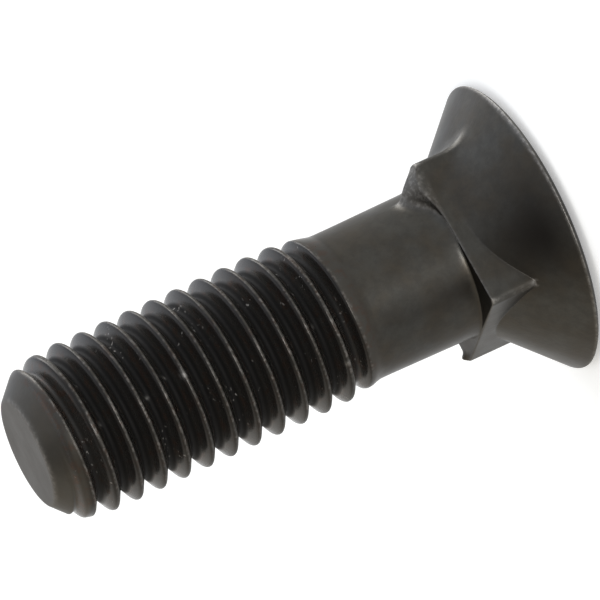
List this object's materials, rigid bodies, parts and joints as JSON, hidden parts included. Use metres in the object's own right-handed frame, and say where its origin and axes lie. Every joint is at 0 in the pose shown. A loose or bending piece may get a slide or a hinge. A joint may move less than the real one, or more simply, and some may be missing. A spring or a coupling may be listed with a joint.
{
  "type": "shear bolt",
  "caption": "Short metric bolt with a flat countersunk head, a square neck, a plain shank and a coarse right-hand thread, forged and rolled as one solid.",
  "frame": {"origin": "centre of the head's flat face, which the bolt stands on", "axes": "+Z along the bolt's axis from the head's flat face to the threaded tip; X and Y are square to the flats of the neck"},
  "size_m": [0.0176, 0.0176, 0.0323],
  "materials": {
    "black_steel": "black oxide over forged and rolled steel, satin, with thread crests rubbed bright"
  },
  "bodies": {
    "root": {"shear_bolt": "black_steel"}
  },
  "joints": []
}
